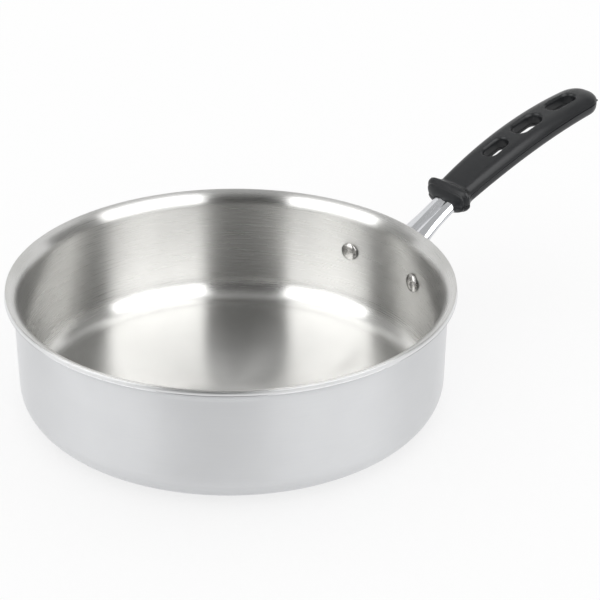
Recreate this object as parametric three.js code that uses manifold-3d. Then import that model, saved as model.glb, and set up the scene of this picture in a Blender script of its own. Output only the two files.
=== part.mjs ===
// Saute pan: a straight-sided bowl of three-ply clad sheet with a flared lip, and a pressed
// steel handle that is riveted to its wall and sheathed in a vented silicone grip.
// Millimetres, +Z up. The origin is the centre of the base's underside; the handle points to +X.

import * as THREE from "three";
import { mergeVertices } from "three/addons/utils/BufferGeometryUtils.js";
import Module from "manifold-3d";

const wasm = await Module();
wasm.setup();

// Bowl
const wallDiameter = 240;
const panHeight = 71.5;
const wallDraft = THREE.MathUtils.degToRad(0.6);
const baseCorner = 16.3;
const lipCurl = 6;
const lipTurn = THREE.MathUtils.degToRad(78);
const outerPly = 0.5;
const corePly = 2.2;
const innerPly = 0.5;
const turnSteps = 60;

// Rivets: the drop is measured from the top of the lip, the spacing across the cooking face.
const rivetDrop = 27.8;
const rivetSpacing = 55.2;
const shankDiameter = 6.4;
const headDiameter = 12.6;
const headHeight = 2.6;
const tailDiameter = 11;
const tailHeight = 2.2;
const rivetEdge = 0.6;

// Pressed steel handle: reach and rise run from the root on the wall to the end of the grip.
const strapThickness = 2.5;
const bracketWidth = 76;
const bracketHeight = 25;
const handleReach = 170.4;
const handleRise = 65.4;
const rootSlope = THREE.MathUtils.degToRad(34.3);
const tipSlope = THREE.MathUtils.degToRad(6);
const rootWidth = 33;
const rootLift = 2.2;
const rootDrop = 11;
const neckWidth = 18;
const neckDrop = 4.4;
const neckLength = 50.5;
const shoulder = 3.2;
const grooveWidth = 6.4;
const grooveDepth = 1.1;

// Silicone grip: the heights are measured from its widest line, below the middle of the steel.
const gripWidths = [23, 28.8, 25.4];
const gripAbove = 7.5;
const gripBelowFront = 4.2;
const gripBelowBack = 5.5;
const partingDrop = 2;
const gripCorner = 5;
const cornerFullness = 0.8;
const gripCover = 3.3;
const endCover = 10;
const gripNose = 15;

// Collar of the grip: it opens from its mouth on the neck to a crest, then falls to the grip.
const mouthWall = 1.4;
const mouthBrow = 3;
const collarCrest = 5.5;
const collarFillet = 7;
const collarFlare = 6.2;
const collarRise = 2.4;
const collarSink = 1.6;
const collarLean = 0.35;

// Vents, from the collar to the end: place is the share of the grip's length from its end.
const vents = [
  { place: 0.634, length: 16.4, width: 7.6 },
  { place: 0.425, length: 20.4, width: 9.6 },
  { place: 0.197, length: 20.8, width: 8 },
];
const ventRound = 2;
const ventSink = 0.5;
const ventLining = 1.5;

// Clearances
const fitGap = 0.3;
const seatGap = 0.15;
const bondGap = 0.02;

// Sizes that follow from those above
const sheet = outerPly + corePly + innerPly;
const wallRadius = wallDiameter / 2;
const rivetHeight = panHeight - rivetDrop;
const lipStart = panHeight - (lipCurl + sheet) * (Math.sin(lipTurn) - Math.sin(wallDraft));
const cookRadius = wallAt(rivetHeight) - sheet;
const rivetAngle = Math.asin(rivetSpacing / 2 / cookRadius);
const bracketFace = wallAt(rivetHeight) + fitGap + strapThickness;
const rootHeight = rivetHeight + rootLift;
const root = new THREE.Vector3(wallAt(rootHeight) + fitGap + 0.2 * strapThickness, 0, rootHeight);
const spine = handleSpine();
const spineLength = spine.getLength();
const gripLength = spineLength - neckLength;
const rootLength = 0.89 * neckLength;
const tangNose = 0.6 * gripNose;

const steel = { color: 0xc9c6c1, metalness: 1, roughness: 0.3 };
const aluminium = { color: 0xd8d9da, metalness: 1, roughness: 0.4 };
const plating = { color: 0xdcdee0, metalness: 1, roughness: 0.12 };
const silicone = { color: 0x2b2d2e, metalness: 0, roughness: 0.5 };

// Outside radius of the wall at a height: it widens a little towards the lip.
function wallAt(height) {
  return wallRadius - (lipStart - height) * Math.tan(wallDraft);
}

// The handle's curve leaves the wall at one slope and reaches the grip's end at another.
function handleSpine() {
  const end = new THREE.Vector3(wallRadius + handleReach, 0, root.z + handleRise);
  const rise = end.z - root.z - (end.x - root.x) * Math.tan(tipSlope);
  const bendX = root.x + rise / (Math.tan(rootSlope) - Math.tan(tipSlope));
  const bend = new THREE.Vector3(bendX, 0, root.z + (bendX - root.x) * Math.tan(rootSlope));
  return new THREE.QuadraticBezierCurve3(root, bend, end);
}

// Pitch of the handle at a distance along its curve.
function pitchAt(distance) {
  const tangent = spine.getTangentAt(distance / spineLength);
  return Math.atan2(tangent.z, tangent.x);
}

// Placement of a cross-section on the handle's curve: x across, y up, z along the handle.
function sectionFrame(distance, pitch) {
  const across = new THREE.Vector3(0, 1, 0);
  const up = new THREE.Vector3(-Math.sin(pitch), 0, Math.cos(pitch));
  const along = new THREE.Vector3(Math.cos(pitch), 0, Math.sin(pitch));
  const frame = new THREE.Matrix4().makeBasis(across, up, along);
  return frame.setPosition(spine.getPointAt(distance / spineLength));
}

// Placement of a vent on the handle's curve: x along the handle, y across, z up through it.
function ventFrame(distance) {
  const pitch = pitchAt(distance);
  const along = new THREE.Vector3(Math.cos(pitch), 0, Math.sin(pitch));
  const across = new THREE.Vector3(0, 1, 0);
  const up = new THREE.Vector3(-Math.sin(pitch), 0, Math.cos(pitch));
  const frame = new THREE.Matrix4().makeBasis(along, across, up);
  return frame.setPosition(spine.getPointAt(distance / spineLength));
}

// Placement of a rivet: its axis runs out through the wall, side +1 or -1 of the handle.
function rivetFrame(side) {
  const angle = side * rivetAngle;
  const out = new THREE.Vector3(Math.cos(angle), Math.sin(angle), 0);
  const level = new THREE.Vector3(-Math.sin(angle), Math.cos(angle), 0);
  const frame = new THREE.Matrix4().makeBasis(level, out, level.clone().cross(out));
  return frame.setPosition(0, 0, rivetHeight);
}

function toSolid(geometry) {
  const bare = geometry.clone();
  bare.deleteAttribute("normal");
  bare.deleteAttribute("uv");
  const merged = mergeVertices(bare, 1e-4);
  return new wasm.Manifold(new wasm.Mesh({
    numProp: 3,
    vertProperties: new Float32Array(merged.attributes.position.array),
    triVerts: new Uint32Array(merged.index.array),
  }));
}

function toMesh(name, solid, finish) {
  const shape = solid.getMesh();
  const geometry = new THREE.BufferGeometry();
  geometry.setAttribute("position", new THREE.BufferAttribute(shape.vertProperties, 3));
  geometry.setIndex(new THREE.BufferAttribute(shape.triVerts, 1));
  geometry.computeVertexNormals();
  const mesh = new THREE.Mesh(geometry, new THREE.MeshStandardMaterial(finish));
  mesh.name = name;
  return mesh;
}

// Skins a row of sections and closes both ends. A section is two rows of points that run the
// same way, one below the other, and the frame that places them.
function loft(sections) {
  const count = sections[0].lower.length;
  const ring = 2 * count;
  const positions = [];
  const index = [];
  for (const { lower, upper, frame } of sections) {
    for (const point of [...lower, ...upper.slice().reverse()]) {
      positions.push(...new THREE.Vector3(point.x, point.y, 0).applyMatrix4(frame));
    }
  }
  for (let i = 0; i + 1 < sections.length; i++) {
    for (let j = 0; j < ring; j++) {
      const here = i * ring + j;
      const next = i * ring + (j + 1) % ring;
      index.push(here, next, next + ring, here, next + ring, here + ring);
    }
  }
  const last = (sections.length - 1) * ring;
  for (let k = 0; k + 1 < count; k++) {
    const [low, lowNext, topNext, top] = [k, k + 1, ring - 2 - k, ring - 1 - k];
    index.push(low, topNext, lowNext, low, top, topNext);
    index.push(last + low, last + lowNext, last + topNext, last + low, last + topNext, last + top);
  }
  const geometry = new THREE.BufferGeometry();
  geometry.setAttribute("position", new THREE.Float32BufferAttribute(positions, 3));
  geometry.setIndex(index);
  return toSolid(geometry);
}

function turned(profile, steps) {
  return new THREE.LatheGeometry(profile, steps).rotateX(Math.PI / 2);
}

// Half section of the sheet, from the axis to the lip, at a depth in from the outside.
function sheetLine(depth) {
  const cornerX = wallAt(baseCorner) - baseCorner;
  const curlX = wallRadius + lipCurl * Math.cos(wallDraft);
  const curlZ = lipStart - lipCurl * Math.sin(wallDraft);
  const corner = new THREE.Path();
  corner.absarc(cornerX, baseCorner, baseCorner - depth, -Math.PI / 2, -wallDraft, false);
  const curl = new THREE.Path();
  curl.absarc(curlX, curlZ, lipCurl + depth, Math.PI - wallDraft, Math.PI - lipTurn, true);
  return [new THREE.Vector2(0, depth), ...corner.getPoints(2), ...curl.getPoints(2)];
}

// One ply: the sheet between two depths, with a hole for each rivet.
function ply(outside, inside) {
  const profile = [...sheetLine(outside), ...sheetLine(inside).reverse()];
  let body = toSolid(turned(profile, turnSteps));
  for (const side of [1, -1]) {
    body = body.subtract(rivetHole(side));
  }
  return body;
}

function rivetHole(side) {
  const radius = shankDiameter / 2 + fitGap;
  const reach = 4 * (sheet + strapThickness);
  const hole = new THREE.CylinderGeometry(radius, radius, reach, 20);
  hole.translate(0, wallAt(rivetHeight), 0);
  return toSolid(hole.applyMatrix4(rivetFrame(side)));
}

// Domed end of a rivet, from its rim to its axis, rising from the seat.
function dome(radius, height, seat, way) {
  const points = [new THREE.Vector2(radius, seat)];
  for (let k = 0; k <= 4; k++) {
    const turn = (k / 4) * (Math.PI / 2);
    const rise = rivetEdge + (height - rivetEdge) * Math.sin(turn);
    points.push(new THREE.Vector2(k < 4 ? radius * Math.cos(turn) : 0, seat + way * rise));
  }
  return points;
}

// A rivet: domed head on the cooking face, shank through sheet and bracket, formed tail outside.
function rivet(side) {
  const headRadius = headDiameter / 2;
  const hollow = headRadius ** 2 / (2 * cookRadius) + cookRadius * (1 - Math.cos(Math.PI / turnSteps));
  const lean = headRadius * Math.tan(wallDraft);
  const headSeat = cookRadius - hollow - lean - seatGap;
  const tailSeat = bracketFace + lean + seatGap;
  const profile = [
    ...dome(headRadius, headHeight, headSeat, -1).reverse(),
    new THREE.Vector2(shankDiameter / 2, headSeat),
    new THREE.Vector2(shankDiameter / 2, tailSeat),
    ...dome(tailDiameter / 2, tailHeight, tailSeat, 1),
  ];
  const body = new THREE.LatheGeometry(profile, 16);
  return toSolid(body.applyMatrix4(rivetFrame(side)));
}

// One edge of a strap section, symmetric about its middle: a shallow groove along the middle,
// then flat, then a shoulder that turns down by the drop.
function strapEdge(half, round, drop, groove, level) {
  const side = [];
  const middle = Math.min(grooveWidth / 2, 0.8 * (half - round));
  for (let k = 0; k <= 4; k++) {
    const y = (k / 4) * middle;
    side.push(new THREE.Vector2(y, level - groove * Math.cos((k / 4) * (Math.PI / 2)) ** 2));
  }
  for (let k = 0; k <= 4; k++) {
    const turn = (k / 4) * (Math.PI / 2);
    side.push(new THREE.Vector2(half - round * (1 - Math.sin(turn)), level - drop * (1 - Math.cos(turn))));
  }
  const mirrored = side.slice(1).map((p) => new THREE.Vector2(-p.x, p.y));
  return [...mirrored.reverse(), ...side];
}

// Cross-section of the pressed handle. Grow adds the same clearance on every face.
function strapSection(width, drop, groove, grow) {
  const half = width / 2;
  const inset = Math.min(shoulder, half / 3);
  const top = strapThickness / 2 + grow;
  const upper = strapEdge(half + grow, inset + grow, drop + 2 * grow, groove, top);
  const lowerHalf = half - strapThickness - grow;
  const lower = strapEdge(lowerHalf, inset / 2, drop - strapThickness, groove, -top);
  return { upper, lower };
}

// Full width of the grip, without its collar, at a share of its length.
function gripWidthAt(share) {
  const [front, middle, back] = gripWidths;
  const ends = front * (1 - share) * (1 - 2 * share) + back * share * (2 * share - 1);
  return ends + 4 * middle * share * (1 - share);
}

// Width, drop and groove of the pressed handle at a distance along its curve.
function strapSizes(distance) {
  const mix = THREE.MathUtils.lerp;
  const flare = (1 - Math.min(distance / rootLength, 1)) ** 2;
  const inside = THREE.MathUtils.smoothstep(distance, neckLength - 2, neckLength + 8);
  const tangWidth = gripWidthAt(Math.max(distance - neckLength, 0) / gripLength) - 2 * gripCover;
  const width = mix(mix(neckWidth, rootWidth, flare), tangWidth, inside);
  const drop = mix(mix(neckDrop, rootDrop, flare ** 2), strapThickness, inside);
  return { width, drop, groove: grooveDepth * (1 - inside) * (1 - flare) };
}

// The strap itself, from a distance on the curve to the rounded end of its tang.
function strap(start, grow) {
  const end = spineLength - endCover;
  const stops = [0, 0.08, 0.18, 0.3, 0.44, 0.6, 0.78, 1].map((share) => share * rootLength);
  for (const past of [-2, 1, 4.5, 8]) {
    stops.push(neckLength + past);
  }
  const straight = end - tangNose - stops.at(-1);
  for (const share of [0.25, 0.5, 0.75, 1]) {
    stops.push(end - tangNose - (1 - share) * straight);
  }
  const sections = [];
  for (const stop of stops.filter((s) => s >= start)) {
    const sizes = strapSizes(stop);
    const pitch = pitchAt(stop) * Math.min(stop / rootLength, 1);
    const frame = sectionFrame(stop, pitch);
    sections.push({ ...strapSection(sizes.width, sizes.drop, sizes.groove, grow), frame });
  }
  for (const turn of [0.4, 0.8, 1.15, 1.4]) {
    const stop = end - tangNose + (tangNose + grow) * Math.sin(turn);
    const width = (strapSizes(stop).width - 4 * shoulder) * Math.cos(turn) + 4 * shoulder;
    const frame = sectionFrame(stop, pitchAt(stop));
    sections.push({ ...strapSection(width, strapThickness, 0, grow), frame });
  }
  return loft(sections);
}

// One side of a slot's outline, between its two rounded ends.
function slotEdge(length, width, side) {
  const points = [];
  for (let k = 0; k < 10; k++) {
    const turn = ((k + 0.5) / 10) * Math.PI;
    const run = Math.sign(-Math.cos(turn)) * (length - width) / 2;
    points.push(new THREE.Vector2(run - Math.cos(turn) * width / 2, side * Math.sin(turn) * width / 2));
  }
  return points;
}

// A slot cut through the handle. Each level is a height and how far the slot spreads there.
function slot(vent, levels) {
  const place = ventFrame(spineLength - vent.place * gripLength);
  const sections = [];
  for (const { height, spread } of levels) {
    const length = vent.length + 2 * spread;
    const width = vent.width + 2 * spread;
    const frame = place.clone().multiply(new THREE.Matrix4().makeTranslation(0, 0, height));
    sections.push({ lower: slotEdge(length, width, -1), upper: slotEdge(length, width, 1), frame });
  }
  return loft(sections);
}

// The strap with a window round each vent, wide enough for the silicone that lines it.
function windowedStrap(start, grow) {
  let body = strap(start, grow);
  const spread = ventLining - grow;
  const beyond = 2 * strapThickness;
  for (const vent of vents) {
    body = body.subtract(slot(vent, [{ height: -beyond, spread }, { height: beyond, spread }]));
  }
  return body;
}

// Plate that follows the wall and takes both rivets.
function bracket() {
  const low = rivetHeight - bracketHeight;
  const high = rivetHeight + bracketHeight;
  const inner = fitGap;
  const outer = fitGap + strapThickness;
  const profile = [
    new THREE.Vector2(wallAt(low) + inner, low),
    new THREE.Vector2(wallAt(low) + outer, low),
    new THREE.Vector2(wallAt(high) + outer, high),
    new THREE.Vector2(wallAt(high) + inner, high),
    new THREE.Vector2(wallAt(low) + inner, low),
  ];
  const outline = new THREE.Shape();
  const run = (bracketWidth - bracketHeight) / 2;
  outline.absarc(run, 0, bracketHeight / 2, -Math.PI / 2, Math.PI / 2, false);
  outline.absarc(-run, 0, bracketHeight / 2, Math.PI / 2, Math.PI * 1.5, false);
  const blank = new THREE.ExtrudeGeometry(outline, {
    depth: wallRadius,
    bevelEnabled: false,
    curveSegments: 8,
  });
  blank.applyMatrix4(new THREE.Matrix4().makeBasis(
    new THREE.Vector3(0, 1, 0),
    new THREE.Vector3(0, 0, 1),
    new THREE.Vector3(1, 0, 0),
  ));
  blank.translate(wallRadius / 2, 0, rivetHeight);
  return toSolid(turned(profile, turnSteps)).intersect(toSolid(blank));
}

function handle() {
  let body = windowedStrap(0, 0).add(bracket());
  for (const side of [1, -1]) {
    body = body.subtract(rivetHole(side));
  }
  return body;
}

// One half of the grip's outline: a flat face with a soft corner at each side.
function gripEdge(half, height) {
  const level = -partingDrop;
  const corner = Math.min(gripCorner, 0.45 * half);
  const side = [];
  for (let k = 0; k <= 5; k++) {
    const turn = ((k + 0.5) / 5.5) * (Math.PI / 2);
    const x = half - corner * (1 - (k < 5 ? Math.cos(turn) ** cornerFullness : 0));
    side.push(new THREE.Vector2(x, level + height * Math.sin(turn) ** cornerFullness));
  }
  const mirrored = side.map((p) => new THREE.Vector2(-p.x, p.y));
  return [...mirrored, ...side.reverse()];
}

// Half width, and heights above and below the widest line, at a distance in from the mouth.
function gripSizes(stop) {
  const mix = THREE.MathUtils.lerp;
  const share = stop / gripLength;
  const past = Math.max(stop - gripLength + gripNose, 0) / gripNose;
  const thin = Math.sqrt(1 - past ** 5);
  const fall = (1 - Math.min(Math.max(stop - collarCrest, 0) / collarFillet, 1)) ** 2;
  const flanged = {
    half: gripWidthAt(share) / 2 * Math.sqrt(1 - past ** 2) + collarFlare * fall,
    above: gripAbove * thin + collarRise * fall,
    below: mix(gripBelowFront, gripBelowBack, share) * thin + collarSink * fall,
  };
  const open = Math.sin(Math.min(stop / collarCrest, 1) * Math.PI / 2);
  return {
    half: mix(neckWidth / 2 + mouthWall, flanged.half, open),
    above: mix(partingDrop + strapThickness / 2 + mouthBrow, flanged.above, open),
    below: mix(neckDrop - strapThickness / 2 + mouthWall - partingDrop, flanged.below, open),
  };
}

function gripBody() {
  const stops = [0, 0.2, 0.42, 0.64, 0.86, 1].map((share) => share * collarCrest);
  for (const share of [0.12, 0.28, 0.5, 0.75, 1]) {
    stops.push(collarCrest + share * collarFillet);
  }
  const straight = gripLength - gripNose - stops.at(-1);
  for (const share of [0.15, 0.32, 0.49, 0.66, 0.83, 1]) {
    stops.push(gripLength - gripNose - (1 - share) * straight);
  }
  for (const turn of [0.3, 0.6, 0.9, 1.15, 1.35, 1.5]) {
    stops.push(gripLength - gripNose * (1 - Math.sin(turn)));
  }
  const sections = [];
  for (const stop of stops) {
    const { half, above, below } = gripSizes(stop);
    const distance = neckLength + stop;
    const turned = THREE.MathUtils.smoothstep(stop, collarCrest, collarCrest + collarFillet);
    const lean = THREE.MathUtils.lerp(collarLean, 1, turned);
    const frame = sectionFrame(distance, pitchAt(distance) * lean);
    sections.push({ upper: gripEdge(half, above), lower: gripEdge(half, -below), frame });
  }
  return loft(sections);
}

// Heights and spreads of a vent through the grip, rounded over at both faces.
function ventLevels() {
  const top = gripAbove - partingDrop;
  const bottom = gripBelowBack + partingDrop;
  const steps = [0, 0.55, 0.85, 1].map((share) => ({
    in: ventRound * (1 - share),
    spread: ventRound * (1 - Math.sqrt(1 - share ** 2)),
  }));
  const over = steps.map((step) => ({ height: top - ventSink - step.in, spread: step.spread }));
  const under = steps.map((step) => ({ height: ventSink + step.in - bottom, spread: step.spread }));
  const beyond = { height: 2 * top, spread: ventRound };
  const beneath = { height: -2 * bottom, spread: ventRound };
  return [beneath, ...under.reverse(), ...over, beyond];
}

// The grip, hollow for the steel from one neck's width ahead of its mouth.
function gripSleeve() {
  let body = gripBody().subtract(windowedStrap(neckLength - neckWidth, fitGap));
  for (const vent of vents) {
    body = body.subtract(slot(vent, ventLevels()));
  }
  return body;
}

const pan = new THREE.Group();
pan.name = "saute_pan";
pan.add(toMesh("outer_ply", ply(0, outerPly - bondGap), steel));
pan.add(toMesh("core_ply", ply(outerPly, outerPly + corePly - bondGap), aluminium));
pan.add(toMesh("inner_ply", ply(outerPly + corePly, sheet), steel));
pan.add(toMesh("handle", handle(), plating));
pan.add(toMesh("grip_sleeve", gripSleeve(), silicone));
pan.add(toMesh("rivet_left", rivet(1), steel));
pan.add(toMesh("rivet_right", rivet(-1), steel));

export default pan;
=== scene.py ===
from math import asin, atan2, cos, pi, radians, sin, sqrt, tan

import bmesh
import bpy
import numpy as np
from mathutils import Matrix, Quaternion, Vector


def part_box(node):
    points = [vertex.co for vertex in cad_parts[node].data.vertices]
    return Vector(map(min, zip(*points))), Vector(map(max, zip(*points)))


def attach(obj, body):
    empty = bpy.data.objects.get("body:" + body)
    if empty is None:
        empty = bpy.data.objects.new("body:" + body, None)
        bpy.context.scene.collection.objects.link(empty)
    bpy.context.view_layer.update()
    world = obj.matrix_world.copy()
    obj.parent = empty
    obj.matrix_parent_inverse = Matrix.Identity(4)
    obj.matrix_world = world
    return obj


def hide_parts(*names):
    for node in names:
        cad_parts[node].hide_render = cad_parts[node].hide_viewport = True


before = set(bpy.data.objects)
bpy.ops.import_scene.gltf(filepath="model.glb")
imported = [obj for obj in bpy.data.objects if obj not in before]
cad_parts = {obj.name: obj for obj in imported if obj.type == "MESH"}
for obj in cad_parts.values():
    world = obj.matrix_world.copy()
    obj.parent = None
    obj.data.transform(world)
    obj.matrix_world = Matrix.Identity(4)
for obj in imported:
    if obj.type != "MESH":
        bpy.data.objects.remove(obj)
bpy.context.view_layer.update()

# Outer ply
# The outside skin of the clad sheet: stainless steel half a millimetre thick, drawn with the two
# other plies into a straight-sided bowl with a rolled lip. Its satin finish runs round the wall.
mm = 0.001
wall_radius = 120 * mm
wall_draft = radians(0.6)
base_corner = 16.3 * mm
lip_curl = 6 * mm
lip_turn = radians(78)
outer_gauge = 0.5 * mm
core_gauge = 2.2 * mm
inner_gauge = 0.5 * mm
bond_line = 0.02 * mm
burr_round = 0.12 * mm
burr_steps = 2
turn_steps = 256
floor_stops = (0, 0.05, 0.35, 0.7)
corner_rows = 16
wall_rows = 18
curl_rows = 14
merge_distance = 0.0005 * mm
bevel_angle = radians(45)
sharp_angle = radians(35)
streak_roughness = 0.65
patch_scale = 30.0
noise_low = 0.3
noise_high = 0.7
noise_mean = (0.5, 0.5, 0.5)
smudge_shade = 0.96
flat_gloss = 0.95
scratch_height = 0.02 * mm
grain_turn = 0.25
tangle = 40 * mm
sheet = outer_gauge + core_gauge + inner_gauge
pan_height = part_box("inner_ply")[1].z
lip_start = pan_height - (lip_curl + sheet) * (sin(lip_turn) - sin(wall_draft))
outer_pale = (0.74, 0.747, 0.758, 1)
outer_deep = (0.69, 0.697, 0.71, 1)


def wall_at(height):
    return wall_radius - (lip_start - height) * tan(wall_draft)


def arc(centre_x, centre_z, radius, start, end, steps):
    turns = np.linspace(start, end, steps + 1)
    return [Vector((centre_x + radius * cos(t), 0, centre_z + radius * sin(t))) for t in turns]


# Half section of the sheet at a depth in from the outside, from the axis to the lip.
def sheet_line(depth):
    corner_x = wall_at(base_corner) - base_corner
    curl_x = wall_radius + lip_curl * cos(wall_draft)
    curl_z = lip_start - lip_curl * sin(wall_draft)
    corner = arc(corner_x, base_corner, base_corner - depth, -pi / 2, -wall_draft, corner_rows)
    curl = arc(curl_x, curl_z, lip_curl + depth, pi - wall_draft, pi - lip_turn, curl_rows)
    floor = [Vector((corner_x * share, 0, depth)) for share in floor_stops]
    wall = [corner[-1].lerp(curl[0], row / wall_rows) for row in range(1, wall_rows)]
    return floor + corner + wall + curl


def soften(bm, offset, segments):
    sharp = [e for e in bm.edges if e.is_manifold and e.calc_face_angle() > bevel_angle]
    bmesh.ops.bevel(bm, geom=sharp, offset=offset, offset_type="OFFSET", affect="EDGES",
                    segments=segments, profile=0.5, material=-1, clamp_overlap=True)


def make_object(name, bm):
    mesh = bpy.data.meshes.new(name)
    bm.to_mesh(mesh)
    bm.free()
    made = bpy.data.objects.new(name, mesh)
    bpy.context.scene.collection.objects.link(made)
    return made


# A solid turned from its half section, which starts and ends on the axis, with its edges broken.
def turned(profile, steps):
    bm = bmesh.new()
    corners = [bm.verts.new(point) for point in profile]
    sides = [bm.edges.new(pair) for pair in zip(corners, corners[1:])]
    bmesh.ops.spin(bm, geom=corners + sides, cent=(0, 0, 0), axis=(0, 0, 1), angle=2 * pi,
                   steps=steps, use_merge=True)
    bmesh.ops.remove_doubles(bm, verts=bm.verts, dist=merge_distance)
    bmesh.ops.recalc_face_normals(bm, faces=bm.faces)
    soften(bm, burr_round, burr_steps)
    return bm


# One ply: what lies between two depths of the sheet, turned round the pan's axis.
def turned_ply(name, outside, inside):
    profile = sheet_line(outside) + sheet_line(inside)[::-1]
    return make_object(name, turned(profile, turn_steps))


# Cuts or joins one piece with tool solids, which are used up.
def work(piece, tools, operation):
    for tool in tools:
        step = piece.modifiers.new("work", "BOOLEAN")
        step.operation = operation
        step.solver = "MANIFOLD"
        step.object = tool
    done = piece.evaluated_get(bpy.context.evaluated_depsgraph_get())
    mesh = bpy.data.meshes.new_from_object(done)
    piece.modifiers.clear()
    piece.data = mesh
    for tool in tools:
        bpy.data.objects.remove(tool)


def finish_piece(piece, node, material):
    piece.data.materials.clear()
    piece.data.materials.append(material)
    for face in piece.data.polygons:
        face.use_smooth = True
    piece.data.set_sharp_from_angle(angle=sharp_angle)
    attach(piece, "root")
    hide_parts(node)


def add(tree, kind, inputs=None, **settings):
    made = tree.nodes.new(kind)
    for name, value in settings.items():
        setattr(made, name, value)
    for socket, value in (inputs or {}).items():
        if isinstance(value, bpy.types.NodeSocket):
            tree.links.new(value, made.inputs[socket])
        else:
            made.inputs[socket].default_value = value
    return made


def new_material(name):
    material = bpy.data.materials.new(name)
    material.use_nodes = True
    tree = material.node_tree
    return material, tree, tree.nodes["Principled BSDF"]


def wire(tree, shader, links):
    for socket, link in links.items():
        tree.links.new(link, shader.inputs[socket])


def noise(tree, spot, scale, detail):
    made = add(tree, "ShaderNodeTexNoise", {"Vector": spot, "Scale": scale, "Detail": detail})
    return made.outputs[0]


# Spreads a value from nought to one between two roughnesses.
def rough_from(tree, value, gloss):
    made = add(tree, "ShaderNodeMapRange", {"Value": value, "To Min": gloss[0], "To Max": gloss[1]})
    return made.outputs[0]


def bump_from(tree, height, strength, depth):
    made = add(tree, "ShaderNodeBump", {"Height": height, "Strength": strength, "Distance": depth})
    return made.outputs[0]


# Fine scratches that run round the pan's axis, and broad soft patches.
def make_brushing():
    tree = bpy.data.node_groups.new("turned_brushing", "ShaderNodeTree")
    for name in ("Fineness", "Sweep"):
        tree.interface.new_socket(name, in_out="INPUT", socket_type="NodeSocketFloat")
    for name in ("Streaks", "Patches"):
        tree.interface.new_socket(name, in_out="OUTPUT", socket_type="NodeSocketFloat")
    given = add(tree, "NodeGroupInput").outputs
    spot = add(tree, "ShaderNodeTexCoord").outputs["Object"]
    level = add(tree, "ShaderNodeVectorMath", {0: spot, 1: (1, 1, 0)}, operation="MULTIPLY").outputs[0]
    radius = add(tree, "ShaderNodeVectorMath", {0: level}, operation="LENGTH").outputs["Value"]
    heading = add(tree, "ShaderNodeVectorMath", {0: level}, operation="NORMALIZE").outputs[0]
    swept = add(tree, "ShaderNodeVectorMath", {0: heading, "Scale": given["Sweep"]}, operation="SCALE")
    height = add(tree, "ShaderNodeVectorMath", {0: spot, 1: (0, 0, 1)}, operation="MULTIPLY").outputs[0]
    rows = add(tree, "ShaderNodeVectorMath", {0: height, "Scale": given["Fineness"]}, operation="SCALE")
    place = add(tree, "ShaderNodeVectorMath", {0: swept.outputs[0], 1: rows.outputs[0]}, operation="ADD")
    rings = add(tree, "ShaderNodeMath", {0: radius, 1: given["Fineness"]}, operation="MULTIPLY")
    streaks = add(tree, "ShaderNodeTexNoise", {
        "Vector": place.outputs[0], "W": rings.outputs[0], "Scale": 1.0, "Detail": 3.0,
        "Roughness": streak_roughness,
    }, noise_dimensions="4D")
    patches = noise(tree, spot, patch_scale, 3.0)
    add(tree, "NodeGroupOutput", {"Streaks": streaks.outputs[0], "Patches": patches})
    return tree


turned_brushing = make_brushing()


# Satin metal brushed round the axis: scratches shift its colour and gloss and stretch its glints.
# The flat of the base is brushed finer than the wall, and stray scratches tangle the grain.
def brushed_metal(name, pale, deep, gloss, fineness, sweep, stretch, scratch):
    material, tree, shader = new_material(name)
    brushing = add(tree, "ShaderNodeGroup", node_tree=turned_brushing)
    brushing.inputs["Fineness"].default_value = fineness
    brushing.inputs["Sweep"].default_value = sweep
    streaks = brushing.outputs["Streaks"]
    colour = add(tree, "ShaderNodeMix", {0: streaks, 6: deep, 7: pale}, data_type="RGBA").outputs[2]
    smudge = add(tree, "ShaderNodeMapRange", {
        "Value": brushing.outputs["Patches"], "From Min": noise_low, "From Max": noise_high,
        "To Min": smudge_shade, "To Max": 1.0,
    }).outputs[0]
    shade = add(tree, "ShaderNodeVectorMath", {0: colour, "Scale": smudge}, operation="SCALE").outputs[0]
    rough = add(tree, "ShaderNodeMapRange", {
        "Value": streaks, "From Min": noise_low, "From Max": noise_high,
        "To Min": gloss[0], "To Max": gloss[1],
    }).outputs[0]
    spot = add(tree, "ShaderNodeTexCoord").outputs["Object"]
    height = add(tree, "ShaderNodeSeparateXYZ", {0: spot}).outputs["Z"]
    coarse = add(tree, "ShaderNodeMapRange", {
        "Value": height, "From Min": sheet, "From Max": base_corner,
        "To Min": flat_gloss, "To Max": 1.0,
    }).outputs[0]
    rough = add(tree, "ShaderNodeMath", {0: rough, 1: coarse}, operation="MULTIPLY").outputs[0]
    bump = bump_from(tree, streaks, scratch, scratch_height)
    speckle = add(tree, "ShaderNodeTexNoise", {"Vector": spot, "Scale": fineness}).outputs["Color"]
    swing = add(tree, "ShaderNodeVectorMath", {0: speckle, 1: noise_mean}, operation="SUBTRACT").outputs[0]
    shift = add(tree, "ShaderNodeVectorMath", {0: swing, "Scale": tangle}, operation="SCALE").outputs[0]
    stray = add(tree, "ShaderNodeVectorMath", {0: spot, 1: shift}, operation="ADD").outputs[0]
    tangent = add(tree, "ShaderNodeVectorMath", {0: (0, 0, 1), 1: stray}, operation="CROSS_PRODUCT")
    wire(tree, shader, {"Base Color": shade, "Roughness": rough, "Tangent": tangent.outputs[0],
                        "Normal": bump})
    shader.inputs["Metallic"].default_value = 1.0
    shader.inputs["Anisotropic"].default_value = stretch
    shader.inputs["Anisotropic Rotation"].default_value = grain_turn
    return material


rivet_drop = 27.8 * mm
rivet_spacing = 55.2 * mm
shank_diameter = 6.4 * mm
drill_depth = 30 * mm
drill_sides = 48
fit_gap = 0.3 * mm
rivet_height = pan_height - rivet_drop
cook_radius = wall_at(rivet_height) - sheet
rivet_angle = asin(rivet_spacing / 2 / cook_radius)


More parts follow.
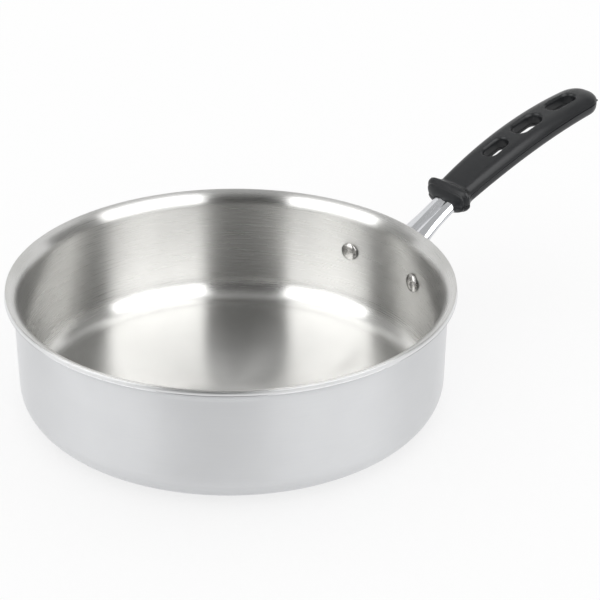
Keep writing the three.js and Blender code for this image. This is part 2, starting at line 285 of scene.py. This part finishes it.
# Turns a shape that stands on the pan's axis so that its own axis runs out through a rivet's place.
def aim_at_rivet(bm, side):
    turn = Matrix.Rotation(side * rivet_angle, 4, "Z") @ Matrix.Rotation(pi / 2, 4, "Y")
    turn = Matrix.Translation((0, 0, rivet_height)) @ turn
    bmesh.ops.transform(bm, matrix=turn, verts=bm.verts)


def rivet_drills():
    drills = []
    for side in (1, -1):
        bm = bmesh.new()
        bore = shank_diameter / 2 + fit_gap
        bmesh.ops.create_cone(bm, cap_ends=True, segments=drill_sides, radius1=bore, radius2=bore,
                              depth=drill_depth, matrix=Matrix.Translation((0, 0, wall_radius)))
        aim_at_rivet(bm, side)
        drills.append(make_object("drill", bm))
    return drills


outer_ply = turned_ply("outer_ply_skin", 0, outer_gauge - bond_line)
work(outer_ply, rivet_drills(), "DIFFERENCE")
outer_satin = brushed_metal("outer_satin", outer_pale, outer_deep, gloss=(0.32, 0.36), fineness=3600,
                            sweep=5, stretch=0.85, scratch=0.03)
finish_piece(outer_ply, "outer_ply", outer_satin)

# Core ply
# The thick aluminium middle of the clad sheet, rolled between the two steel skins. It shows only
# as a pale band on the lip's cut edge, which is trimmed on a lathe and left bare.
core_pale = (0.88, 0.885, 0.89, 1)
core_deep = (0.74, 0.745, 0.75, 1)

core_ply = turned_ply("core_ply_sheet", outer_gauge, outer_gauge + core_gauge - bond_line)
work(core_ply, rivet_drills(), "DIFFERENCE")
trimmed_aluminium = brushed_metal("trimmed_aluminium", core_pale, core_deep, gloss=(0.3, 0.42),
                                  fineness=5200, sweep=8, stretch=0.3, scratch=0.1)
finish_piece(core_ply, "core_ply", trimmed_aluminium)

# Inner ply
# The cooking face of the clad sheet: a stainless skin with a fine satin that was brushed while the
# bowl turned, so that the light streaks across it and the floor shows fans.
inner_pale = (0.655, 0.652, 0.64, 1)
inner_deep = (0.63, 0.627, 0.615, 1)

inner_ply = turned_ply("inner_ply_skin", outer_gauge + core_gauge, sheet)
work(inner_ply, rivet_drills(), "DIFFERENCE")
inner_satin = brushed_metal("inner_satin", inner_pale, inner_deep, gloss=(0.27, 0.285), fineness=4200,
                            sweep=4, stretch=0.94, scratch=0.01)
finish_piece(inner_ply, "inner_ply", inner_satin)

# Handle
# One strap of steel, pressed to a shallow channel with a groove along its top and flared to a
# plate that follows the wall. It is bright plated, and its tang runs on inside the grip.
strap_gauge = 2.5 * mm
strap_edge = 0.45 * mm
edge_steps = 3
bracket_width = 76 * mm
bracket_height = 25 * mm
bracket_rows = 96
bracket_columns = 30
round_start = 0.3
handle_reach = 170.4 * mm
handle_rise = 65.4 * mm
root_slope = radians(34.3)
tip_slope = radians(6)
root_width = 33 * mm
root_lift = 2.2 * mm
root_drop = 11 * mm
root_inset = 0.5 * mm
neck_width = 18 * mm
neck_drop = 4.4 * mm
neck_length = 50.5 * mm
shoulder = 2.9 * mm
neck_camber = 0.9 * mm
groove_width = 6.6 * mm
groove_floor = 2.6 * mm
groove_depth = 0.92 * mm
curve_steps = 1000
strap_rows = 150
root_row = 0.22
tang_row = 0.5
strap_columns = 100
floor_column = 0.12
groove_column = 0.4
shoulder_column = 0.66
leg_column = 0.96
end_cover = 10 * mm
tang_nose = 9 * mm
tang_tip = 0.55
grip_widths = (23 * mm, 28.8 * mm, 25.4 * mm)
grip_cover = 3.3 * mm
plating_pale = (0.74, 0.75, 0.77, 1)
plating_deep = (0.66, 0.67, 0.69, 1)
plating_gloss = (0.09, 0.2)
drawing_scale = (60, 900, 300)
drawing_depth = 0.05 * mm
drawing_strength = 0.06
cloud_scale = 90.0
root_height = rivet_height + root_lift
root = Vector((wall_at(root_height) + fit_gap + root_inset, 0, root_height))
tip = Vector((wall_radius + handle_reach, 0, root_height + handle_rise))
root_length = 0.89 * neck_length
root_stop = 0.35 * neck_length
tang_stop = neck_length + 10 * mm
fold_start = neck_length - 2 * mm
fold_end = neck_length + 8 * mm


# The handle's curve leaves the wall at one slope and reaches the grip's end at another.
def handle_curve():
    rise = tip.z - root.z - (tip.x - root.x) * tan(tip_slope)
    bend_x = root.x + rise / (tan(root_slope) - tan(tip_slope))
    bend = Vector((bend_x, 0, root.z + (bend_x - root.x) * tan(root_slope)))
    shares = np.linspace(0, 1, curve_steps + 1)
    points = [root * (1 - t) ** 2 + bend * 2 * t * (1 - t) + tip * t ** 2 for t in shares]
    steps = [(b - a).length for a, b in zip(points, points[1:])]
    return bend, shares, np.concatenate([[0], np.cumsum(steps)])


bend, curve_shares, curve_lengths = handle_curve()
curve_length = float(curve_lengths[-1])
grip_length = curve_length - neck_length


# A point beside the handle's curve. Lean is how far the section turns square to the curve.
def on_handle(distance, across, up, lean=1.0):
    t = float(np.interp(distance, curve_lengths, curve_shares))
    spot = root * (1 - t) ** 2 + bend * 2 * t * (1 - t) + tip * t ** 2
    way = (bend - root) * (1 - t) + (tip - bend) * t
    pitch = atan2(way.z, way.x) * lean
    return spot + Vector((-sin(pitch) * up, across, cos(pitch) * up))


def mix(a, b, share):
    return a + (b - a) * share


def clamp(share):
    return min(max(share, 0), 1)


def ease(value, start, end):
    share = clamp((value - start) / (end - start))
    return share * share * (3 - 2 * share)


def grip_width_at(share):
    front, middle, back = grip_widths
    ends = front * (1 - share) * (1 - 2 * share) + back * share * (2 * share - 1)
    return ends + 4 * middle * share * (1 - share)


# A sheet of faces whose corners are put in place by their shares along and across it.
def skin(rows, columns, place):
    bm = bmesh.new()
    bmesh.ops.create_grid(bm, x_segments=rows, y_segments=columns, size=1)
    for corner in bm.verts:
        corner.co = place((corner.co.x + 1) / 2, (corner.co.y + 1) / 2)
    bmesh.ops.remove_doubles(bm, verts=bm.verts, dist=merge_distance)
    return bm


# Fills the open ends of a skin that was closed round to a tube.
def close_ends(bm):
    bmesh.ops.holes_fill(bm, edges=[e for e in bm.edges if e.is_boundary], sides=0)
    bmesh.ops.recalc_face_normals(bm, faces=bm.faces)


# The strap from a distance on the curve to the end of its tang, grown by a clearance all over.
# Its section runs over the top from edge to edge and back underneath.
def strap(name, start, grow):
    end = curve_length - end_cover + grow
    around = 2 * (strap_columns + 1)
    rows = (0, root_row, tang_row, 1)
    stops = (start, max(start, root_stop), tang_stop, end)
    columns = (0, floor_column, groove_column, shoulder_column)
    groove = (groove_floor / 2, groove_width / 2)

    def place(along, way_round):
        column = round(way_round * around) % around
        under = column > strap_columns
        depth = strap_gauge + 2 * grow if under else 0
        across = (around - 1 - column if under else column) / strap_columns
        distance = float(np.interp(along, rows, stops))
        flare = (1 - min(distance / root_length, 1)) ** 2
        inside = ease(distance, fold_start, fold_end)
        nose = clamp((distance - end + tang_nose) / tang_nose)
        tang = grip_width_at(max(distance - neck_length, 0) / grip_length) - 2 * grip_cover
        tang = mix(tang_tip * tang, tang, sqrt(1 - nose ** 2))
        half = mix(mix(neck_width, root_width, flare), tang, inside) / 2 + grow
        drop = mix(neck_drop, root_drop, flare ** 2)
        pressed = (1 - inside) * (1 - flare)
        camber = neck_camber * pressed
        fold = (1 - inside) * pi / 2
        bow = shoulder + grow
        leg = (drop - shoulder - camber) * (1 - inside) + grow
        top = strap_gauge / 2 + grow
        level = half - bow * sin(fold) - leg * cos(fold)
        side = 2 * across - 1
        step = abs(side)
        turn = fold * clamp((step - shoulder_column) / (leg_column - shoulder_column))
        run = leg * max((step - leg_column) / (1 - leg_column), 0)
        y = float(np.interp(step, columns, (0, *groove, level)))
        sunk = groove_depth * pressed * float(np.interp(y, groove, (1, 0)))
        y += run * cos(fold)
        sag = camber * ((y + bow * sin(turn)) / half) ** 2 + sunk
        bow -= depth
        y += bow * sin(turn)
        z = top - depth - bow * (1 - cos(turn)) - run * sin(fold) - sag
        return on_handle(distance, y if side > 0 else -y, z, min(distance / root_length, 1))

    bm = skin(strap_rows, around, place)
    close_ends(bm)
    if not grow:
        soften(bm, strap_edge, edge_steps)
    return make_object(name, bm)


# Each vent's share of the grip from its back end, and its length and width.
vents = (
    (0.634, 16.4 * mm, 8 * mm),
    (0.425, 20.4 * mm, 9.6 * mm),
    (0.197, 20.8 * mm, 8 * mm),
)
vent_lining = 1.5 * mm
vent_sides = 72
window_reach = 3 * strap_gauge


# A plug with the outline of a vent. Each level is a height beside the curve and a spread there.
def vent_plug(vent, levels):
    share, length, width = vent
    distance = curve_length - share * grip_length
    centre = on_handle(distance, 0, 0)
    lift = (on_handle(distance, 0, mm) - centre) / mm
    along = Vector((lift.z, 0, -lift.x))

    def place(row, turn):
        height, spread = levels[round(row * (len(levels) - 1))]
        angle = 2 * pi * turn
        reach = width / 2 + spread
        run = (length - width) / 2 * (1 if cos(angle) > 0 else -1)
        sideways = Vector((0, reach * sin(angle), 0))
        return centre + lift * height + along * (run + reach * cos(angle)) + sideways

    bm = skin(len(levels) - 1, vent_sides, place)
    close_ends(bm)
    return make_object("plug", bm)


def window_plugs(spread):
    ends = [(-window_reach, spread), (window_reach, spread)]
    return [vent_plug(vent, ends) for vent in vents]


# The plate on the wall: a rounded blank that is wrapped round the bowl.
def bracket():
    end_round = bracket_height / 2
    straight = bracket_width / 2 - end_round

    def place(along, across):
        side = 2 * along - 1
        step = abs(side)
        turn = clamp((step - round_start) / (1 - round_start)) * pi / 2
        y = straight * min(step / round_start, 1) + end_round * sin(turn)
        z = rivet_height + (2 * across - 1) * end_round * max(cos(turn), 0)
        radius = wall_at(z) + fit_gap + strap_gauge
        angle = asin(y / radius) * (1 if side > 0 else -1)
        return Vector((radius * cos(angle), radius * sin(angle), z))

    bm = skin(bracket_rows, bracket_columns, place)
    bmesh.ops.solidify(bm, geom=bm.faces[:], thickness=strap_gauge)
    bmesh.ops.recalc_face_normals(bm, faces=bm.faces)
    soften(bm, strap_edge, edge_steps)
    return make_object("bracket", bm)


def bright_plating():
    material, tree, shader = new_material("bright_plating")
    spot = add(tree, "ShaderNodeTexCoord").outputs["Object"]
    drawn = add(tree, "ShaderNodeMapping", {"Vector": spot, "Scale": drawing_scale}).outputs[0]
    lines = noise(tree, drawn, 1.0, 3.0)
    cloud = noise(tree, spot, cloud_scale, 2.0)
    colour = add(tree, "ShaderNodeMix", {0: cloud, 6: plating_deep, 7: plating_pale}, data_type="RGBA")
    rough = rough_from(tree, lines, plating_gloss)
    bump = bump_from(tree, lines, drawing_strength, drawing_depth)
    wire(tree, shader, {"Base Color": colour.outputs[2], "Roughness": rough, "Normal": bump})
    shader.inputs["Metallic"].default_value = 1.0
    return material


handle = strap("handle_pressing", 0, 0)
work(handle, window_plugs(vent_lining), "DIFFERENCE")
work(handle, [bracket()], "UNION")
work(handle, rivet_drills(), "DIFFERENCE")
finish_piece(handle, "handle", bright_plating())

# Grip sleeve
# Charcoal silicone moulded over the tang in a two-part mould: a flared collar in front, three
# vents with a step where the mould's pins met, and a parting line round the sides.
grip_above = 5.8 * mm
grip_below_front = 5.8 * mm
grip_below_back = 7.1 * mm
parting_drop = 0.4 * mm
pin_drop = 2 * mm
parting_dent = 0.8 * mm
parting_rim = 0.45 * mm
flash_bead = 0.75 * mm
bead_back = 3.2 * mm
front_corner = 4.5 * mm
back_corner = 10.5 * mm
front_roundness = 0.85
back_roundness = 1
lower_corner = 3.6 * mm
lower_roundness = 0.8
grip_nose = 13.5 * mm
crown_nose = 13 * mm
nose_end = radians(87)
nose_fullness = 2.4
nose_drop = 4
nose_rows = 36
body_rows = 100
grip_crown = 0.5 * mm
mouth_wall = 1.4 * mm
mouth_brow = 3 * mm
collar_crest = 5.5 * mm
collar_face = 1.7 * mm
collar_step = 2.4 * mm
collar_rim = 4.4 * mm
face_share = 0.76
collar_fillet = 7 * mm
collar_rows = 28
fillet_rows = 18
fillet_hollow = 0.7
collar_corner = 6.5 * mm
collar_roundness = 0.8
collar_lower_roundness = 1.2
corner_limit = 0.8
rim_limit = 0.2
corner_steps = 12
crown_steps = 8
collar_flare = 6.2 * mm
collar_rise = 3 * mm
collar_sink = 1.6 * mm
collar_lean = 0.35
collar_tuck = 1.2 * mm
cavity_start = 0.65 * neck_length
vent_round = 2.4 * mm
vent_steps = 8
pin_step = 0.3 * mm
vent_ledge = 0.7 * mm
ledge_depth = 1 * mm
vent_flare = 4.2 * mm
flare_depth = 3.2 * mm
silicone_pale = (0.025, 0.0262, 0.028, 1)
silicone_deep = (0.016, 0.0172, 0.019, 1)
silicone_gloss = (0.26, 0.4)
silicone_index = 1.41
silicone_sheen = 0.4
grain_scale = 2600.0
grain_depth = 0.03 * mm
grain_strength = 0.25
bloom_scale = 45.0


# Share of a quarter round's height at a share of its run.
def round_over(share):
    return sin(clamp(share) * pi / 2)


# Half width, heights above and below the parting line, and share of the collar's flare, at a
# distance in from the mouth. The collar's front is a face with a stepped rim behind it.
def grip_sizes(stop):
    share = stop / grip_length
    past = clamp((stop - grip_length + grip_nose) / grip_nose)
    droop = clamp((stop - grip_length + crown_nose) / crown_nose)
    behind = clamp((stop - collar_crest) / collar_fillet)
    flare = 1 - ease(behind ** fillet_hollow, 0, 1)
    taper = (1 - past ** nose_fullness) ** (1 / nose_fullness)
    half = grip_width_at(share) / 2 * taper + collar_flare * flare
    above = grip_above * (1 - droop ** nose_fullness) ** (1 / nose_fullness) + collar_rise * flare
    below = mix(grip_below_front, grip_below_back, share) * sqrt(1 - past ** nose_drop)
    below += collar_sink * flare
    rim = round_over((stop - collar_step) / (collar_rim - collar_step))
    swell = mix(face_share * round_over(stop / collar_face), 1, rim)
    return (
        mix(neck_width / 2 + mouth_wall, half, swell),
        mix(parting_drop + strap_gauge / 2 + mouth_brow, above, swell),
        mix(neck_drop - strap_gauge / 2 + mouth_wall - parting_drop, below, swell),
        flare,
    )


# A quarter of the grip's outline, from the parting line at its side to its middle.
def quarter_outline(half, height, corner, roundness, tuck):
    corner = min(corner, corner_limit * half)
    rim = min(parting_rim, rim_limit * height)
    crown = grip_crown * min(height / grip_above, 1)
    points = [(half - tuck - min(parting_dent, rim_limit * half), 0)]
    for step in range(corner_steps + 1):
        turn = step / corner_steps * pi / 2
        y = half - corner * (1 - max(cos(turn), 0) ** roundness) - tuck * (1 - sin(turn)) ** 2
        z = rim + (height - rim) * sin(turn) ** roundness
        points.append((y, z - crown * (y / half) ** 2 * sin(turn)))
    inner = points[-1][0]
    for step in range(1, crown_steps + 1):
        y = inner * (1 - step / crown_steps)
        points.append((y, height - crown * (y / half) ** 2))
    return points


def grip_outline(stop):
    half, above, below, flare = grip_sizes(stop)
    share = stop / grip_length
    corner = mix(mix(front_corner, back_corner, share), collar_corner, flare)
    roundness = mix(mix(front_roundness, back_roundness, share), collar_roundness, flare)
    tuck = collar_tuck * flare
    over = quarter_outline(half, above, corner, roundness, tuck)
    under = quarter_outline(half, below, mix(lower_corner, 2 * collar_corner, flare),
                            mix(lower_roundness, collar_lower_roundness, flare), tuck)
    under = [(y, -z) for y, z in under]
    right = over + [(-y, z) for y, z in over[-2::-1]]
    left = [(-y, z) for y, z in under[1:]] + under[-2:0:-1]
    return right + left


def grip_body():
    stops = [collar_crest * k / collar_rows for k in range(collar_rows)]
    stops += [collar_crest + collar_fillet * k / fillet_rows for k in range(fillet_rows)]
    body_start = collar_crest + collar_fillet
    body_end = grip_length - grip_nose
    stops += [mix(body_start, body_end, k / body_rows) for k in range(body_rows)]
    stops += [body_end + grip_nose * sin(turn) for turn in np.linspace(0, nose_end, nose_rows + 1)]
    outlines = [grip_outline(stop) for stop in stops]
    around = len(outlines[0])

    def place(along, turn):
        row = round(along * (len(stops) - 1))
        y, z = outlines[row][round(turn * around) % around]
        lean = mix(collar_lean, 1, ease(stops[row], collar_crest, collar_crest + collar_fillet))
        return on_handle(neck_length + stops[row], y, z - parting_drop, lean)

    bm = skin(len(stops) - 1, around, place)
    close_ends(bm)
    return make_object("grip_sleeve_moulding", bm)


# Beads of flash on the parting line, at the grip's end and on the collar's far side. Each place is a
# distance in from the mouth, a side, a tuck in from the widest point and a lean of the section.
def flash_beads():
    beads = []
    places = (
        (grip_length - bead_back, -1, 0, 1),
        (collar_rim, 1, collar_tuck, collar_lean),
    )
    for stop, side, tuck, lean in places:
        bm = bmesh.new()
        bmesh.ops.create_icosphere(bm, subdivisions=3, radius=flash_bead)
        spot = on_handle(neck_length + stop, side * (grip_sizes(stop)[0] - tuck), -parting_drop, lean)
        bmesh.ops.translate(bm, verts=bm.verts, vec=spot)
        beads.append(make_object("bead", bm))
    return beads


# Heights and spreads of a vent: a rolled edge above, a step where the pins met, and a flare below.
def vent_levels():
    top = grip_above - parting_drop
    ledge = -pin_drop - ledge_depth
    bottom = ledge - flare_depth
    turns = np.linspace(0, pi / 2, vent_steps + 1)
    over = [(top - vent_round * (1 - cos(t)), vent_ledge + vent_round * (1 - sin(t))) for t in turns]
    step = [(pin_step - pin_drop, vent_ledge), (-pin_drop, 0), (ledge, 0)]
    under = [(bottom - vent_round * (1 - cos(t)), vent_flare + vent_round * sin(t)) for t in turns]
    beyond = [(2 * top, vent_ledge + vent_round)]
    beneath = [(3 * bottom, vent_flare + vent_round)]
    return beyond + over + step + under + beneath


def moulded_silicone():
    material, tree, shader = new_material("moulded_silicone")
    spot = add(tree, "ShaderNodeTexCoord").outputs["Object"]
    grain = noise(tree, spot, grain_scale, 2.0)
    bloom = noise(tree, spot, bloom_scale, 4.0)
    colour = add(tree, "ShaderNodeMix", {0: bloom, 6: silicone_deep, 7: silicone_pale}, data_type="RGBA")
    rough = rough_from(tree, bloom, silicone_gloss)
    bump = bump_from(tree, grain, grain_strength, grain_depth)
    wire(tree, shader, {"Base Color": colour.outputs[2], "Roughness": rough, "Normal": bump})
    shader.inputs["IOR"].default_value = silicone_index
    shader.inputs["Specular IOR Level"].default_value = silicone_sheen
    return material


grip = grip_body()
work(grip, flash_beads(), "UNION")
cavity = strap("cavity", cavity_start, fit_gap)
work(cavity, window_plugs(vent_lining - fit_gap), "DIFFERENCE")
work(grip, [cavity], "DIFFERENCE")
work(grip, [vent_plug(vent, vent_levels()) for vent in vents], "DIFFERENCE")
finish_piece(grip, "grip_sleeve", moulded_silicone())

# Rivets
# Two solid stainless rivets hold the handle's plate to the wall. Each has a low domed head on the
# cooking face and a tail formed over the plate outside.
head_diameter = 11.2 * mm
head_height = 2.6 * mm
tail_diameter = 11 * mm
tail_height = 2.2 * mm
rivet_edge = 0.6 * mm
seat_gap = 0.15 * mm
dome_steps = 14
rivet_steps = 64
rivet_pale = (0.56, 0.552, 0.535, 1)
rivet_deep = (0.42, 0.415, 0.4, 1)
rivet_gloss = (0.16, 0.36)
mark_scale = 700.0
mark_depth = 0.05 * mm
mark_strength = 0.15


# Half section of a domed end, from its rim to the rivet's axis.
def dome(radius, height, seat, way):
    points = [Vector((radius, 0, seat))]
    for turn in np.linspace(0, pi / 2, dome_steps + 1):
        rise = rivet_edge + (height - rivet_edge) * sin(turn)
        points.append(Vector((radius * max(cos(turn), 0), 0, seat + way * rise)))
    return points


def rivet(name, side):
    head_radius = head_diameter / 2
    lean = head_radius * tan(wall_draft)
    head_seat = cook_radius - head_radius ** 2 / (2 * cook_radius) - lean - seat_gap
    tail_seat = wall_at(rivet_height) + fit_gap + strap_gauge + lean + seat_gap
    shank = [Vector((shank_diameter / 2, 0, seat)) for seat in (head_seat, tail_seat)]
    profile = dome(head_radius, head_height, head_seat, -1)[::-1] + shank
    profile += dome(tail_diameter / 2, tail_height, tail_seat, 1)
    bm = turned(profile, rivet_steps)
    aim_at_rivet(bm, side)
    return make_object(name, bm)


def worked_steel():
    material, tree, shader = new_material("worked_steel")
    spot = add(tree, "ShaderNodeTexCoord").outputs["Object"]
    marks = noise(tree, spot, mark_scale, 4.0)
    colour = add(tree, "ShaderNodeMix", {0: marks, 6: rivet_deep, 7: rivet_pale}, data_type="RGBA")
    rough = rough_from(tree, marks, rivet_gloss)
    bump = bump_from(tree, marks, mark_strength, mark_depth)
    wire(tree, shader, {"Base Color": colour.outputs[2], "Roughness": rough, "Normal": bump})
    shader.inputs["Metallic"].default_value = 1.0
    return material


rivet_steel = worked_steel()
for rivet_node, side in (("rivet_left", 1), ("rivet_right", -1)):
    finish_piece(rivet(rivet_node + "_solid", side), rivet_node, rivet_steel)

# Studio
# A white floor that runs out to a white room. Two softboxes and a set of grey cards stand where the
# bowl mirrors them, and only reflections show them. The camera stands where the photograph was taken.
camera_spot = Vector((-0.5427, -0.6919, 0.5095))
camera_aim = Vector((0.0360, -0.0161, 0.0529))
camera_roll = radians(0.551)
camera_lens = 106.51
sensor_width = 36
camera_bearing = atan2(camera_spot.y, camera_spot.x)
floor_size = 30
floor_drop = 0.1 * mm
floor_white = (0.97, 0.97, 0.97, 1)
floor_glow = 0.7
paint_roughness = 0.9
room_white = (1, 1, 1, 1)
studio_radius = 0.85
card_steps = 24
left_span = (radians(-46.5), radians(-17.25))
camera_span = (radians(-17.25), radians(8.25))
right_span = (radians(8.25), radians(40))
low_tilts = (radians(8), radians(21))
softbox_tilts = (radians(21), radians(53))
side_tilts = (radians(12), radians(54))
wing_tilts = (radians(46), radians(78))
softboxes = (
    ("left_softbox", left_span, softbox_tilts),
    ("right_softbox", right_span, softbox_tilts),
)
softbox_heights = (0.48, 0.66)
softbox_strengths = (3.05, 3.7)
grey_cards = (
    ("camera_card", camera_span, (radians(8), radians(40)), (0.07, 0.07, 0.068, 1)),
    ("camera_top_card", camera_span, (radians(40), radians(53)), (0.25, 0.25, 0.245, 1)),
    ("ceiling_card", (radians(-57), radians(45)), (radians(53), radians(79)), (0.58, 0.58, 0.58, 1)),
    ("low_left_card", left_span, low_tilts, (0.5, 0.5, 0.49, 1)),
    ("low_right_card", right_span, low_tilts, (0.5, 0.5, 0.49, 1)),
    ("left_card", (radians(-64), radians(-46.5)), side_tilts, (0.42, 0.42, 0.412, 1)),
    ("right_card", (radians(40), radians(62.5)), side_tilts, (0.3, 0.3, 0.294, 1)),
    ("left_wing", (radians(-86), radians(-70)), wing_tilts, (0.85, 0.85, 0.84, 1)),
    ("right_wing", (radians(70), radians(86)), wing_tilts, (0.85, 0.85, 0.84, 1)),
)


def plain_paint(name, colour):
    material, _, shader = new_material(name)
    shader.inputs["Base Color"].default_value = colour
    shader.inputs["Roughness"].default_value = paint_roughness
    shader.inputs["Specular IOR Level"].default_value = 0.0
    return material


# A curved card that the camera sees mirrored in the bowl. Bearings on the wall's far side and tilts
# of the metal from upright say which part of the bowl mirrors it.
def studio_card(name, bearings, tilts):
    def place(along, across):
        bearing = camera_bearing + mix(*bearings, along)
        tilt = mix(*tilts, across)
        mirror = Vector((-wall_radius * cos(bearing), -wall_radius * sin(bearing), pan_height / 2))
        sight = (camera_spot - mirror).normalized()
        normal = Vector((cos(bearing) * cos(tilt), sin(bearing) * cos(tilt), sin(tilt)))
        return mirror + studio_radius * (2 * normal.dot(sight) * normal - sight)

    card = make_object(name, skin(card_steps, card_steps, place))
    card.visible_camera = False
    card.visible_diffuse = False
    card.visible_shadow = False
    return card


# The softboxes hang over the pan, so that their upper part is the brighter one.
def softbox_glow():
    material, tree, shader = new_material("softbox_glow")
    tree.nodes.remove(shader)
    spot = add(tree, "ShaderNodeTexCoord").outputs["Object"]
    height = add(tree, "ShaderNodeSeparateXYZ", {0: spot}).outputs["Z"]
    strength = add(tree, "ShaderNodeMapRange", {
        "Value": height, "From Min": softbox_heights[0], "From Max": softbox_heights[1],
        "To Min": softbox_strengths[0], "To Max": softbox_strengths[1],
    }).outputs[0]
    glow = add(tree, "ShaderNodeEmission", {"Strength": strength})
    tree.links.new(glow.outputs[0], tree.nodes["Material Output"].inputs["Surface"])
    return material


# White paint that glows where the camera or the metal sees it, so that shadows stay faint.
def floor_paint():
    material = plain_paint("floor_paint", floor_white)
    tree = material.node_tree
    path = add(tree, "ShaderNodeLightPath").outputs
    seen = path["Is Camera Ray"]
    for ray in ("Is Glossy Ray", "Is Transmission Ray"):
        seen = add(tree, "ShaderNodeMath", {0: seen, 1: path[ray]}, operation="MAXIMUM").outputs[0]
    share = add(tree, "ShaderNodeMath", {0: seen, 1: floor_glow}, operation="MULTIPLY").outputs[0]
    glow = add(tree, "ShaderNodeEmission").outputs[0]
    paint = tree.nodes["Principled BSDF"].outputs[0]
    blend = add(tree, "ShaderNodeMixShader", {0: share, 1: paint, 2: glow}).outputs[0]
    tree.links.new(blend, tree.nodes["Material Output"].inputs["Surface"])
    return material


def floor_corner(along, across):
    return Vector(((along - 0.5) * floor_size, (across - 0.5) * floor_size, -floor_drop))


floor = make_object("floor", skin(1, 1, floor_corner))
floor.data.materials.append(floor_paint())
for name, bearings, tilts in softboxes:
    studio_card(name, bearings, tilts).data.materials.append(softbox_glow())
for name, bearings, tilts, colour in grey_cards:
    studio_card(name, bearings, tilts).data.materials.append(plain_paint(name, colour))

world = bpy.data.worlds.new("white_room")
bpy.context.scene.world = world
world.use_nodes = True
room = world.node_tree.nodes["Background"]
room.inputs["Color"].default_value = room_white
room.inputs["Strength"].default_value = 1.0

camera_data = bpy.data.cameras.new("camera")
camera_data.lens = camera_lens
camera_data.sensor_width = sensor_width
camera = bpy.data.objects.new("camera", camera_data)
bpy.context.scene.collection.objects.link(camera)
camera.location = camera_spot
look = (camera_aim - camera_spot).to_track_quat("-Z", "Y")
camera.rotation_euler = (look @ Quaternion((0, 0, 1), camera_roll)).to_euler()
bpy.context.scene.camera = camera
bpy.context.scene.view_settings.view_transform = "Standard"

bpy.context.view_layer.update()
